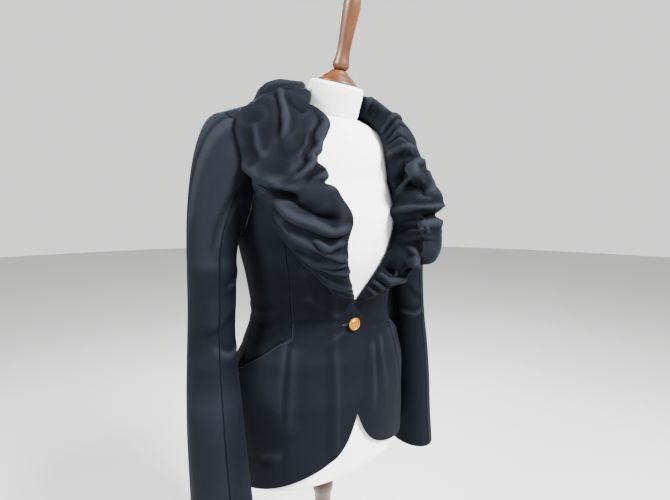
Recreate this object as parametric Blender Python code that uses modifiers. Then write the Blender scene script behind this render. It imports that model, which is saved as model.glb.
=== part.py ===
"""A ruched shawl-collar cutaway jacket worn by a dress form on a turned wooden stand.

Metres. The garment's front faces -Y, the wearer's right is -X and the floor is z = 0.
Body sections are laid out by an angle t in degrees from the centre front and a height h
above the waist; every cloth piece is a closed wall lofted on that surface.
"""
import math

import bpy
import numpy as np

NAME = "ruched_collar_jacket_on_dress_form"

WALL = .002          # cloth wall
SEAM = .0002         # each piece's share of the gap at a seam
WAIST_Z = 1.055
BUST_H = .235        # above this height the sections close over the shoulder
TOP_H = .35          # shoulder seam and neck
HEM_H = -.278
UNDERLAP = .0028     # the right front lies this far outside the left

RING_H = (-.30, -.20, -.125, -.06, .0, .06, .12, .17, .235)
RING_SIDE = (.170, .171, .166, .150, .133, .140, .152, .158, .158)
RING_FRONT = (.108, .113, .113, .105, .095, .106, .126, .130, .112)
RING_BACK = (.128, .132, .125, .105, .088, .092, .102, .108, .110)
SHOULDER_TIP = (.182, .012, .325)
SHOULDER_NECK = (.052, .006, .362)
NECK_BACK = (0., .040, .357)

FRONT_EDGE = ((-14.5, -.028), (-12, -.063), (-5, -.118), (0, -.158), (8, -.197))
FRONT_HEM = ((8, -.197), (14, -.2145), (20, -.2265), (29, -.2375), (39, -.2465), (50, -.2555), (62, -.264),
             (76, -.272), (90, HEM_H))
BACK_HEM = ((90, HEM_H), (120, -.284), (150, -.288), (180, -.289))
NECKLINE = ((-14.5, -.028), (-13.6, -.006), (-7, .010), (0, .022), (6, .034), (14.3, .057),
            (22.5, .093), (29, .143), (32, .184), (33.3, .223), (31.5, .262), (27, .298),
            (20, .335), (17, TOP_H))
PRINCESS = ((54, -.028), (54, .02), (51.6, .086), (52, .136), (57.5, .19), (68.5, .235))
POCKET_LINE = ((54, -.028), (58.6, -.031), (70, -.052), (83, -.076), (90, -.090))
ARMHOLE_FRONT = ((68.5, .235), (69.5, .27), (71, .31), (72, TOP_H))
ARMHOLE_UNDER = ((68.5, .235), (71, .19), (78, .152), (90, .133))
ARMHOLE_BACK = ((90, .133), (98, .141), (105, .163), (109.5, .21), (110, .25), (108, .30),
                (104, TOP_H))

SLEEVE_H = (.10, .05, .0, -.05, -.10, -.15, -.20, -.25, -.33)
SLEEVE_X = (.203, .203, .205, .209, .214, .217, .219, .220, .222)
SLEEVE_Y = {-1: (-.013, -.006, -.004, -.018, -.045, -.066, -.088, -.106, -.132),
            1: (-.010, -.010, -.012, -.012, -.013, -.015, -.017, -.018, -.022)}
SLEEVE_R = (.0392, .0392, .0388, .0400, .0418, .0430, .0434, .0446, .0460)

# collar stations from the centre back to the button: seam (t, h), outer edge (t, h), rise at
# the crest, rise over the fall, and how far the crest leans into the opening
COLLAR = {-1: (((180, .350), (180, .298), .038, .032, 1.2),
               ((172.5, .350), (156, .305), .038, .032, 1.2),
               ((16.6, .350), (57, .350), .036, .027, 1.2),
               ((26.6, .298), (66, .304), .036, .030, 1.8),
               ((31.1, .262), (69, .252), .040, .036, 2.),
               ((32.9, .223), (67, .218), .052, .050, 2.4),
               ((31.6, .184), (58, .178), .062, .058, 5.4),
               ((28.6, .143), (51, .142), .058, .052, 8.),
               ((22.1, .093), (40, .101), .042, .038, 7.),
               ((13.9, .057), (28, .066), .028, .024, 5.),
               ((5.6, .034), (15, .033), .014, .012, 3.)),
          1: (((180, .350), (180, .298), .038, .032, 1.2),
              ((172.5, .350), (156, .305), .038, .032, 1.2),
              ((16.6, .350), (57, .350), .036, .027, 1.2),
              ((26.6, .298), (66, .304), .035, .032, 1.8),
              ((31.1, .262), (69, .252), .042, .042, 2.),
              ((32.9, .223), (67, .218), .054, .060, 2.4),
              ((31.6, .184), (58, .178), .063, .075, 2.7),
              ((28.6, .143), (51, .142), .059, .077, 2.7),
              ((22.1, .093), (40, .101), .043, .059, 2.7),
              ((13.9, .057), (28, .066), .026, .032, 2.7),
              ((5.6, .034), (15, .033), .013, .013, 2.7))}
SECTION_V = (0., .12, .26, .40, .58, .78, .92, 1.)
SECTION_ACROSS = (.0, -.13, -.14, .02, .34, .76, .97, 1.)
SECTION_UP = (.02, .40, .86, 1., .98, .78, .50, .34)

NECK_BASE = (0., -.034, .3435)
NECK_LEAN = math.radians(22)
NECK_RADIUS = .0455
FORM_BOTTOM_H = -.277
POLE_TOP = WAIST_Z + FORM_BOTTOM_H - .0004


def curve(x, xs, ys):
    """Smooth interpolation that never overshoots its control values."""
    xs, ys = np.asarray(xs, float), np.asarray(ys, float)
    h = np.diff(xs)
    d = np.diff(ys) / h
    same = d[:-1] * d[1:] > 0
    m = np.zeros(len(xs))
    m[1:-1][same] = 2 * (d[:-1] * d[1:])[same] / (d[:-1] + d[1:])[same]
    m[0], m[-1] = d[0], d[-1]
    x = np.clip(np.asarray(x, float), xs[0], xs[-1])
    i = np.clip(np.searchsorted(xs, x) - 1, 0, len(h) - 1)
    u = (x - xs[i]) / h[i]
    return ((1 + 2 * u) * (1 - u) ** 2 * ys[i] + u * (1 - u) ** 2 * h[i] * m[i]
            + u * u * (3 - 2 * u) * ys[i + 1] + u * u * (u - 1) * h[i] * m[i + 1])


def ramp(x, a, b):
    """0 at a rising smoothly to 1 at b."""
    u = np.clip((x - a) / (b - a), 0, 1)
    return u * u * (3 - 2 * u)


def along(points, n):
    """n + 1 even steps along a smooth line through (t, h) points."""
    p = np.array(points, float)
    run = np.concatenate([[0], np.cumsum(np.hypot(np.diff(p[:, 0]) * .0024, np.diff(p[:, 1])))])
    u = np.linspace(0, run[-1], n + 1)
    return np.stack([curve(u, run, p[:, 0]), curve(u, run, p[:, 1])], -1)


def ring(t, h, ease):
    """The level section at height h."""
    a = np.radians(t)
    s, c = np.sin(a), np.cos(a)
    hs = h + .012 * c
    side = curve(hs, RING_H, RING_SIDE) + ease
    deep = np.where(c > 0, curve(hs, RING_H, RING_FRONT), curve(hs, RING_H, RING_BACK)) + ease
    r = (np.abs(s / side) ** 2.25 + np.abs(c / deep) ** 2.25) ** (-1 / 2.25)
    return r * s, -r * c


def shoulder(t, ease):
    """The top of the column at t: the shoulder seam, then the back neck."""
    neck, tip, back = map(np.array, (SHOULDER_NECK, SHOULDER_TIP, NECK_BACK))
    q = np.where(t < 90, (t - 16) / 56, (167 - t) / 63)
    qs = np.clip(q, 0, 1.1)[..., None]
    p = neck + (tip - neck) * qs
    p[..., 2] += .006 * np.sin(np.pi * np.clip(q, 0, 1))
    k = np.clip((t - 167) / 13, 0, 1)[..., None]
    round_neck = neck + (back - neck) * np.stack([k[..., 0], np.sin(k[..., 0] * np.pi / 2),
                                                  k[..., 0]], -1)
    p = np.where(k > 0, round_neck, p)
    p[..., 2] += ease
    return p


def body(t, h, ease=0.):
    """Points on the wearer's left of the jacket's inner face."""
    t, h, ease = np.broadcast_arrays(np.asarray(t, float), np.asarray(h, float), ease)
    x, y = ring(t, np.minimum(h, BUST_H), ease)
    low = np.stack([x, y, np.minimum(h, BUST_H)], -1)
    top = shoulder(t, ease)
    lift = top[..., 2] - BUST_H
    zero = np.zeros_like(lift)
    first = low + np.stack([zero, zero, .55 * lift], -1)
    last = top + np.stack([zero, np.where(t < 90, -.05, .055), zero], -1)
    w = np.clip((h - BUST_H) / (TOP_H - BUST_H), 0, 1)[..., None]
    up = ((1 - w) ** 3 * low + 3 * w * (1 - w) ** 2 * first + 3 * w * w * (1 - w) * last
          + w ** 3 * top)
    p = np.where(w > 0, up, low)
    return p + [0, 0, WAIST_Z]


def body_normal(t, h):
    """The outward normal of the body surface."""
    e = .4
    g = .003
    down = np.where(np.asarray(h) > TOP_H - 2 * g, -g, g)
    a = (body(np.asarray(t) + e, h) - body(np.asarray(t) - e, h))
    b = (body(t, h + down) - body(t, h)) * np.sign(down)[..., None]
    n = np.cross(a, b)
    return n / np.linalg.norm(n, axis=-1, keepdims=True)


def patch(left, right, bottom, top):
    """A Coons patch in (t, h); rows run from bottom to top."""
    u = np.linspace(0, 1, len(bottom))[None, :, None]
    v = np.linspace(0, 1, len(left))[:, None, None]
    corners = ((1 - u) * (1 - v) * bottom[0] + u * (1 - v) * bottom[-1]
               + (1 - u) * v * top[0] + u * v * top[-1])
    return ((1 - v) * bottom[None] + v * top[None] + (1 - u) * left[:, None]
            + u * right[:, None] - corners)


def draw_in(points, quads, amount):
    """Move a sheet's border inward by half the seam gap."""
    seen = {}
    for q in quads:
        for a, b in zip(q, np.roll(q, -1)):
            seen.setdefault((min(a, b), max(a, b)), []).append(q)
    shift = np.zeros_like(points)
    for (a, b), faces in seen.items():
        if len(faces) == 1:
            along_edge = points[b] - points[a]
            along_edge /= np.linalg.norm(along_edge)
            inward = points[list(faces[0])].mean(0) - (points[a] + points[b]) / 2
            inward -= along_edge * (inward @ along_edge)
            inward /= np.linalg.norm(inward)
            shift[a] += inward
            shift[b] += inward
    return points + shift * amount


def material(name, colour, roughness, metallic=0.):
    m = bpy.data.materials.new(name)
    m.use_nodes = True
    b = m.node_tree.nodes["Principled BSDF"]
    b.inputs["Base Color"].default_value = (*colour, 1)
    b.inputs["Roughness"].default_value = roughness
    b.inputs["Metallic"].default_value = metallic
    return m


def add(name, points, faces, mat):
    mesh = bpy.data.meshes.new(name)
    mesh.from_pydata([tuple(p) for p in points], [], [tuple(int(i) for i in f) for f in faces])
    mesh.materials.append(mat)
    ob = bpy.data.objects.new(name, mesh)
    COLLECTION.objects.link(ob)
    for poly in mesh.polygons:
        poly.use_smooth = True
    return ob


def grid_normals(grid, closed=False):
    """Unit normals of a grid of points, rows by columns."""
    if closed:
        wide = np.concatenate([grid[:, -2:-1], grid, grid[:, 1:2]], 1)
        across = (wide[:, 2:] - wide[:, :-2])
    else:
        across = np.gradient(grid, axis=1)
    n = np.cross(across, np.gradient(grid, axis=0))
    return n / np.linalg.norm(n, axis=-1, keepdims=True)


def cloth(name, grid, normals, side, mat, keep=None):
    """A closed wall from a grid of points; the other face is WALL along the normals."""
    rows, cols = grid.shape[:2]
    quads = [(j * cols + i, j * cols + i + 1, (j + 1) * cols + i + 1, (j + 1) * cols + i)
             for j in range(rows - 1) for i in range(cols - 1) if keep is None or keep(j, i)]
    used = sorted({i for q in quads for i in q})
    index = {old: new for new, old in enumerate(used)}
    quads = [tuple(index[i] for i in q) for q in quads]
    inner = draw_in(grid.reshape(-1, 3)[used], quads, SEAM)
    outer = inner + normals.reshape(-1, 3)[used] * WALL
    n = len(used)
    border = {}
    for q in quads:
        for a, b in zip(q, q[1:] + q[:1]):
            if border.pop((b, a), None) is None:
                border[(a, b)] = True
    split = []
    for a, b, c, d in quads:
        if np.linalg.norm(inner[a] - inner[c]) < np.linalg.norm(inner[b] - inner[d]):
            split += [(a, b, c), (a, c, d)]
        else:
            split += [(a, b, d), (b, c, d)]
    faces = ([tuple(i + n for i in f) for f in split] + [f[::-1] for f in split]
             + [(a, b, b + n, a + n) for a, b in border])
    if side < 0:
        faces = [f[::-1] for f in faces]
    return add(name, np.concatenate([inner, outer]) * [side, 1, 1], faces, mat)


def lathe(name, profile, mat, steps=32):
    """A turned piece: an (r, z) profile spun by a Screw modifier."""
    n = len(profile)
    mesh = bpy.data.meshes.new(name)
    mesh.from_pydata([(r, 0, z) for r, z in profile], [(i, i + 1) for i in range(n - 1)], [])
    mesh.materials.append(mat)
    ob = bpy.data.objects.new(name, mesh)
    COLLECTION.objects.link(ob)
    spin = ob.modifiers.new("spin", "SCREW")
    spin.steps = spin.render_steps = steps
    spin.use_merge_vertices = True
    spin.merge_threshold = .0001
    spin.use_normal_calculate = True
    spin.use_smooth_shade = True
    return ob


def lap_ease(t, h, side):
    """The right front rides over the left round the button."""
    return UNDERLAP * ramp(t, 26, 17) * ramp(h, .075, .045) if side < 0 else 0 * t


def pocket_ease(t, h):
    """How far the hip stands off at the pocket mouth."""
    return (.0025 + .0095 * ramp(t, 56, 86)) * ramp(t, 54, 57) * ramp(h, -.18, -.085)


def make_front(side, tag):
    upper_rows, lower_rows, inner_cols, outer_cols = 13, 8, 7, 6
    waist = np.stack([np.linspace(-14.5, 54, inner_cols + 1),
                      np.full(inner_cols + 1, -.028)], -1)
    princess = along(PRINCESS, 9)
    armhole = along(ARMHOLE_FRONT, 4)
    top = along(((17, TOP_H), (72, TOP_H)), inner_cols)
    upper = patch(along(NECKLINE, upper_rows), np.concatenate([princess, armhole[1:]]), waist, top)
    pocket = along(POCKET_LINE, outer_cols)
    mouth = np.concatenate([waist, pocket[1:]])
    lower = patch(along(FRONT_EDGE[::-1], lower_rows),
                  along(((90, HEM_H), (90, -.090)), lower_rows),
                  along(FRONT_HEM, inner_cols + outer_cols), mouth)
    cols = inner_cols + outer_cols + 1
    th = np.zeros((lower_rows + upper_rows + 1, cols, 2))
    th[:lower_rows + 1] = lower
    th[lower_rows:, :inner_cols + 1] = upper
    ease = lap_ease(th[..., 0], th[..., 1], side)
    ease = ease + np.where(np.arange(len(th))[:, None] <= lower_rows,
                           pocket_ease(th[..., 0], th[..., 1]), 0)
    grid = body(th[..., 0], th[..., 1], ease)
    cloth(f"front_{tag}", grid, body_normal(th[..., 0], th[..., 1]), side, CLOTH,
          lambda j, i: j < lower_rows or i < inner_cols)


def make_side_front(side, tag):
    """The underarm panel; its foot is tucked inside the pocket mouth."""
    rows, cols = 9, 6
    left = along(PRINCESS, rows)
    top = along(ARMHOLE_UNDER, cols)
    right = along(((90, -.085), (90, .133)), rows)
    bottom = along(POCKET_LINE, cols)
    th = patch(left, right, bottom, top)
    tuck = th[0] + np.stack([np.linspace(5, -.3, cols + 1), np.full(cols + 1, -.013)], -1)
    th = np.concatenate([tuck[None], th])
    ease = np.zeros(th.shape[:2])
    ease[0] = -.0022
    ease[1] = -.0022 * ramp(th[1, :, 0], 54, 60)
    cloth(f"side_front_{tag}", body(th[..., 0], th[..., 1], ease),
          body_normal(th[..., 0], th[..., 1]), side, CLOTH, lambda j, i: j > 0 or i > 1)


def make_back(side, tag):
    rows, cols = 19, 10
    left = np.concatenate([along(((90, HEM_H), (90, .133)), 11), along(ARMHOLE_BACK, 8)[1:]])
    top = along(((104, TOP_H), (167, TOP_H), (180, TOP_H)), cols)
    right = along(((180, -.289), (180, TOP_H)), rows)
    th = patch(left, right, along(BACK_HEM, cols), top)
    t, h = th[..., 0], th[..., 1]
    ease = .010 * ramp(t, 128, 92) * ramp(h, -.18, -.10) * ramp(h, -.055, -.09)
    cloth(f"back_{tag}", body(t, h, ease), body_normal(t, h), side, CLOTH)


def sleeve_grid(side):
    """Rows run from the armhole to the cuff, columns round from the shoulder by the front."""
    loop = np.concatenate([along(ARMHOLE_FRONT, 4)[::-1], along(ARMHOLE_UNDER, 6)[1:],
                           along(ARMHOLE_BACK, 8)[1:]])
    n = len(loop) - 1
    start = body(loop[:, 0], loop[:, 1]) + body_normal(loop[:, 0], loop[:, 1]) * WALL
    start[0] = start[-1] = (start[0] + start[-1]) / 2
    start += [.0005, 0, 0]
    around = np.concatenate([np.linspace(0, .5, 5), np.linspace(.5, 1, 7)[1:],
                             np.linspace(1, 2, 9)[1:]]) * np.pi
    high = (1 + np.cos(around)) / 2
    levels = np.concatenate([[SLEEVE_H[0]], np.linspace(.06, SLEEVE_H[-1], 10)])
    rings = []
    for h in levels:
        x, y, r = (curve(-h, [-k for k in SLEEVE_H], v)
                   for v in (SLEEVE_X, SLEEVE_Y[side], SLEEVE_R))
        rings.append(np.stack([x + .9 * r * np.cos(around), y - 1.2 * r * np.sin(around),
                               np.full(n + 1, WAIST_Z + h)], -1))
    end = rings[0]
    out = np.stack([.006 + .026 * high, 0 * high, -.002 - .006 * high], -1)
    up = np.stack([0 * high, 0 * high, .010 + .10 * high], -1)
    cap = []
    for w in np.linspace(0, 1, 6)[:-1]:
        cap.append((1 - w) ** 3 * start + 3 * w * (1 - w) ** 2 * (start + out)
                   + 3 * w * w * (1 - w) * (end + up) + w ** 3 * end)
    return np.array(cap + rings)


def make_sleeve(side, tag):
    grid = sleeve_grid(side)
    normals = grid_normals(grid, closed=True)
    cols = grid.shape[1] - 1
    for name, i in (("top", [*range(14, cols), *range(5)]), ("under", [*range(4, 15)])):
        cloth(f"{name}_sleeve_{tag}", grid[:, i] - normals[:, i] * WALL, normals[:, i], side,
              CLOTH)


def collar_grid(side, count, v):
    """The collar's plain roll, from the centre back over the shoulder to the button."""
    across, up = (curve(v, SECTION_V, k) for k in (SECTION_ACROSS, SECTION_UP))
    fall = ramp(v, .35, .7)
    f = np.clip(across, 0, 1)
    stations = []
    for (ta, ha), (tf, hf), crest, over, lean_in in COLLAR[side]:
        t, h = ta + (tf - ta) * f, ha + (hf - ha) * f
        normal = body_normal(t, h)
        if ha == TOP_H:
            lean = ramp(f, .5, 0.)[:, None]
            normal = normal * (1 - lean) + np.array([0, .15, 1.]) * lean
            normal /= np.linalg.norm(normal, axis=-1, keepdims=True)
        rise = up * (crest * (1 - fall) + over * fall)
        p = body(t, h, lap_ease(t, h, side)) + normal * rise[:, None]
        p[:, 2] += .0028 if ha == TOP_H else 0
        inward = body(ta, ha) - body(ta + .2 * (tf - ta), ha + .2 * (hf - ha))
        stations.append(p + inward * np.clip(-across, 0, 1)[:, None] * lean_in)
    stations = np.array(stations)
    run = np.cumsum(np.linalg.norm(np.diff(stations[:, len(v) // 2], axis=0), axis=1))
    run = np.concatenate([[0], run])
    s = np.linspace(0, run[-1], count)
    return np.array([np.stack([curve(s, run, stations[:, j, k]) for k in range(3)], -1)
                     for j in range(len(v))])


def make_collar(side, tag, phase):
    """The gathered roll with its largest folds."""
    v = np.linspace(0, 1, 11)
    grid = collar_grid(side, 37, v)
    n = grid_normals(grid)
    along_s = np.linspace(0, 1, grid.shape[1])[None]
    row = v[:, None]
    wave = np.sin(2 * np.pi * (8.5 * along_s + .55 * row + phase))
    wave = wave + .45 * np.sin(2 * np.pi * (14 * along_s - .4 * row + 1.7 * phase))
    fade = ramp(row, 0, .3) * ramp(along_s, 1., .76) * ramp(along_s, 0, .10)
    grid = grid + n * (wave * .0034 * fade)[..., None]
    grid[:, 0, 0] = 0
    n = grid_normals(grid)
    n[:, 0, 0] = 0
    cloth(f"collar_{tag}", grid, n, side, CLOTH)


def make_form():
    """The limbless form: rings from the underside to the top of the neck."""
    t = np.linspace(0, 360, 41)[:-1]
    fold = np.where(t <= 180, t, 360 - t)
    side = np.where(t <= 180, 1, -1)[:, None] * [1, 0, 0] + [0, 1, 1]
    axis = np.array([0, -math.sin(NECK_LEAN), math.cos(NECK_LEAN)])
    cross = np.array([0, -math.cos(NECK_LEAN), -math.sin(NECK_LEAN)])
    a = np.radians(t)

    def neck(height, radius):
        base = np.array(NECK_BASE) + [0, 0, WAIST_Z]
        return (base + axis * height + np.outer(np.sin(a) * radius, [1, 0, 0])
                + np.outer(np.cos(a) * radius, cross))

    rings = []
    for h in (FORM_BOTTOM_H, -.27, -.24, -.20, -.16, -.12, -.08, -.04, 0., .04, .08, .12,
              .16, .20, BUST_H):
        pull = .006 if h == FORM_BOTTOM_H else 0.
        x, y = ring(fold, np.full_like(t, h), -.005 - pull)
        rings.append(np.stack([x, y, np.full_like(t, WAIST_Z + h)], -1) * side)
    low, high = rings[-1], neck(0, NECK_RADIUS)
    lift = (high - low)[:, 2:]
    out = np.abs(np.sin(a))[:, None]
    first = low + lift * [0, 0, .5]
    reach = (high - high.mean(0)) / NECK_RADIUS
    last = (high + reach * (.014 + .082 * out ** 3) * [1, 1, 0]
            + out ** 2 * [0, .034, 0] - [0, 0, .013])
    for w in (.14, .28, .42, .56, .69, .81, .91):
        rings.append((1 - w) ** 3 * low + 3 * w * (1 - w) ** 2 * first
                     + 3 * w * w * (1 - w) * last + w ** 3 * high)
    rings += [high, neck(.016, NECK_RADIUS + .0005), neck(.032, NECK_RADIUS + .0012),
              neck(.045, NECK_RADIUS + .0012), neck(.049, NECK_RADIUS - .002)]
    n = len(t)
    points = np.concatenate(rings)
    faces = [tuple(range(n))[::-1]]
    for j in range(len(rings) - 1):
        for i in range(n):
            k = (i + 1) % n
            faces.append((j * n + i, j * n + k, (j + 1) * n + k, (j + 1) * n + i))
    faces.append(tuple(range((len(rings) - 1) * n, len(rings) * n)))
    add("form_torso", points, faces, JERSEY)


def make_stand():
    tilt = (NECK_LEAN, 0, 0)
    base = np.array(NECK_BASE) + [0, 0, WAIST_Z]
    axis = np.array([0, -math.sin(NECK_LEAN), math.cos(NECK_LEAN)])
    cap = lathe("neck_cap", ((0, 0), (.0325, 0), (.0335, .0022), (.0325, .004), (.0255, .0095),
                             (.0165, .0155), (.0120, .0200), (0, .0200)), WOOD)
    finial = lathe("finial", ((0, 0), (.0100, 0), (.0142, .005), (.0142, .009), (.0120, .019),
                              (.0112, .030), (.0116, .045), (.0126, .060), (.0137, .077),
                              (.0142, .089), (.0130, .099), (.0090, .105), (0, .107)), WOOD)
    for ob, height in ((cap, .0494), (finial, .0698)):
        ob.location = base + axis * height
        ob.rotation_euler = tilt
    lathe("stand_pole", ((0, .0284), (.030, .0284), (.031, .036), (.022, .046), (.0165, .062),
                         (.016, .10), (.0185, .30), (.0165, .52), (.016, .66), (.021, .684),
                         (.016, .70), (.020, .722), (.033, .752), (.035, POLE_TOP - .008),
                         (.034, POLE_TOP), (0, POLE_TOP)), DARK_WOOD)
    lathe("stand_base", ((0, 0), (.150, 0), (.156, .004), (.156, .016), (.150, .021),
                         (.110, .0235), (.060, .027), (.040, .028), (0, .028)), DARK_WOOD, 48)


def make_button():
    """A domed shank button on the right front."""
    ob = lathe("button", ((0, -.0018), (.0032, -.0018), (.0034, .0002), (.0090, .0009),
                          (.0103, .0016), (.0104, .0023),
                          (.0098, .0029), (.0090, .0026), (.0080, .0033), (.0050, .0045),
                          (0, .0050)), GOLD, 24)
    t, h = np.array(0.), np.array(-.010)
    normal = body_normal(t, h)
    ob.location = body(t, h, UNDERLAP) + normal * (WALL + .0038)
    ob.rotation_euler = (math.pi / 2 - math.asin(float(normal[2])), 0, 0)


for old in list(bpy.data.objects):
    bpy.data.objects.remove(old)

COLLECTION = bpy.data.collections.new(NAME)
bpy.context.scene.collection.children.link(COLLECTION)

CLOTH = material("black_wool_satin", (.012, .013, .018), .52)
JERSEY = material("white_jersey", (.82, .82, .80), .85)
WOOD = material("polished_beech", (.42, .17, .06), .35)
DARK_WOOD = material("stained_wood", (.12, .06, .03), .45)
GOLD = material("gold_metal", (.75, .52, .18), .28, 1.)

for SIDE, TAG, PHASE in ((-1, "right", .15), (1, "left", .62)):
    make_front(SIDE, TAG)
    make_side_front(SIDE, TAG)
    make_back(SIDE, TAG)
    make_sleeve(SIDE, TAG)
    make_collar(SIDE, TAG, PHASE)
make_form()
make_stand()
make_button()
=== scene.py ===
"""The looks of a ruched-collar cutaway jacket worn by a dress form on a turned stand.

Metres, in the part's own frame: the garment faces -Y, the wearer's right is -X, the floor is
z = 0. Each cloth piece is a thin shell on the same surface as its solid, cut by angle t in
degrees from the centre front and height h above the waist, with its folds placed one by one.
"""
import math

import bpy
import numpy as np
from mathutils import Matrix, Vector, noise


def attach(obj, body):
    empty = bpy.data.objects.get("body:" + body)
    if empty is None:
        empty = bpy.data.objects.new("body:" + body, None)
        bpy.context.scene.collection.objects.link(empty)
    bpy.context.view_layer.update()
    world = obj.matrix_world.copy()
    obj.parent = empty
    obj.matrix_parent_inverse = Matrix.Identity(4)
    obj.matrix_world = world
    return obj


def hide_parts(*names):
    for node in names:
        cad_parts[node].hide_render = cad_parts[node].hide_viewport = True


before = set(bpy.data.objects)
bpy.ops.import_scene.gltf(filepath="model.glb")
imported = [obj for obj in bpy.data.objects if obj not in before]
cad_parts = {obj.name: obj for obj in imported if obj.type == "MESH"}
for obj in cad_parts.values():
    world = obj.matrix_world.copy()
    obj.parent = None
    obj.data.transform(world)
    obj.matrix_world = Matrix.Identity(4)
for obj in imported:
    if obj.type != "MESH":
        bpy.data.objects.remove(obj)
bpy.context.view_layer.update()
for thing in bpy.context.selected_objects:
    thing.select_set(False)

WALL = .002          # cloth wall
SEAM = .00006        # a border point is drawn in this far for each of its two edges
RIM = .0018          # the wall thins to a rounded edge over this width
WAIST_Z = 1.055
BUST_H = .235        # above this height the sections close over the shoulder
TOP_H = .35          # shoulder seam and neck
HEM_H = -.278
UNDERLAP = .0028     # the right front lies this far outside the left
SQUARE = 2.25        # how square the level sections are; 2 is an ellipse
FRONT_DROP = .012    # the sections sit this much lower at the centre front
NECK_T = (16, 167)   # where the shoulder seam starts at the neck, front and back
TIP_T = (72, 104)    # and where it ends at the armhole
DEGREE = .0024       # metres of cloth in one degree of t, about
SMOOTH = math.radians(38)

RING_H = (-.30, -.20, -.125, -.06, .0, .06, .12, .17, .235)
RING_SIDE = (.170, .171, .166, .150, .133, .140, .152, .158, .158)
RING_FRONT = (.108, .113, .113, .105, .095, .106, .126, .130, .112)
RING_BACK = (.128, .132, .125, .105, .088, .092, .102, .108, .110)
SHOULDER_TIP = (.182, .012, .325)
SHOULDER_NECK = (.052, .006, .362)
NECK_BACK = (0., .040, .357)

FRONT_EDGE = ((-14.5, -.028), (-12, -.063), (-5, -.118), (0, -.158), (8, -.197))
FRONT_HEM = ((8, -.197), (14, -.2145), (20, -.2265), (29, -.2375), (39, -.2465),
             (50, -.2555), (62, -.264), (76, -.272), (90, HEM_H))
BACK_HEM = ((90, HEM_H), (120, -.284), (150, -.288), (180, -.289))
NECKLINE = ((-14.5, -.028), (-13.6, -.006), (-7, .010), (0, .022), (6, .034), (14.3, .057),
            (22.5, .093), (29, .143), (32, .184), (33.3, .223), (31.5, .262), (27, .298),
            (20, .335), (17, TOP_H))
PRINCESS = ((54, -.028), (54, .02), (51.6, .086), (52, .136), (57.5, .19), (68.5, .235))
POCKET_LINE = ((54, -.028), (58.6, -.031), (70, -.052), (83, -.076), (90, -.090))
ARMHOLE_FRONT = ((68.5, .235), (69.5, .27), (71, .31), (72, TOP_H))
ARMHOLE_UNDER = ((68.5, .235), (71, .19), (78, .152), (90, .133))
ARMHOLE_BACK = ((90, .133), (98, .141), (105, .163), (109.5, .21), (110, .25), (108, .30),
                (104, TOP_H))

SLEEVE_H = (.10, .05, .0, -.05, -.10, -.15, -.20, -.25, -.33)
SLEEVE_X = (.203, .203, .205, .209, .214, .217, .219, .220, .222)
SLEEVE_Y = {-1: (-.013, -.006, -.004, -.018, -.045, -.066, -.088, -.106, -.132),
            1: (-.010, -.010, -.012, -.012, -.013, -.015, -.017, -.018, -.022)}
SLEEVE_R = (.0392, .0392, .0388, .0400, .0418, .0430, .0434, .0446, .0460)
# places round a sleeve from the shoulder by the front, in turns of pi
SLEEVE_TURNS = np.concatenate([np.linspace(0, .5, 31), np.linspace(.5, 1, 43)[1:],
                               np.linspace(1, 2, 61)[1:]])

# the collar from the centre back to the button: where it is sewn and its outer edge, (t, h)
COLLAR_LINES = (((180, .350), (180, .298)), ((172.5, .350), (156, .305)),
                ((16.6, .350), (57, .350)), ((26.6, .298), (66, .304)),
                ((31.1, .262), (69, .252)), ((32.9, .223), (67, .218)),
                ((31.6, .184), (58, .178)), ((28.6, .143), (51, .142)),
                ((22.1, .093), (40, .101)), ((13.9, .057), (28, .066)),
                ((5.6, .034), (15, .033)))
# and there its rise at the crest, over the fall, and how far the crest leans into the opening
COLLAR_RISES = {-1: ((.038, .032, 1.2), (.038, .032, 1.2), (.036, .027, 1.2),
                     (.036, .030, 1.8), (.040, .036, 2.), (.052, .050, 2.4),
                     (.062, .058, 5.4), (.058, .052, 8.), (.042, .038, 7.),
                     (.028, .024, 5.), (.014, .012, 3.)),
                1: ((.038, .032, 1.2), (.038, .032, 1.2), (.036, .027, 1.2),
                    (.035, .032, 1.8), (.042, .042, 2.), (.054, .060, 2.4),
                    (.063, .075, 2.7), (.059, .077, 2.7), (.043, .059, 2.7),
                    (.026, .032, 2.7), (.013, .013, 2.7))}
SECTION_V = (0., .12, .26, .40, .58, .78, .92, 1.)
SECTION_ACROSS = (.0, -.13, -.14, .02, .34, .76, .97, 1.)
SECTION_UP = (.02, .40, .86, 1., .98, .78, .50, .34)

NECK_BASE = (0., -.034, .3435)
NECK_LEAN = math.radians(22)
NECK_RADIUS = .0455
FORM_BOTTOM_H = -.277
POLE_TOP = WAIST_Z + FORM_BOTTOM_H - .0004
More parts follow.
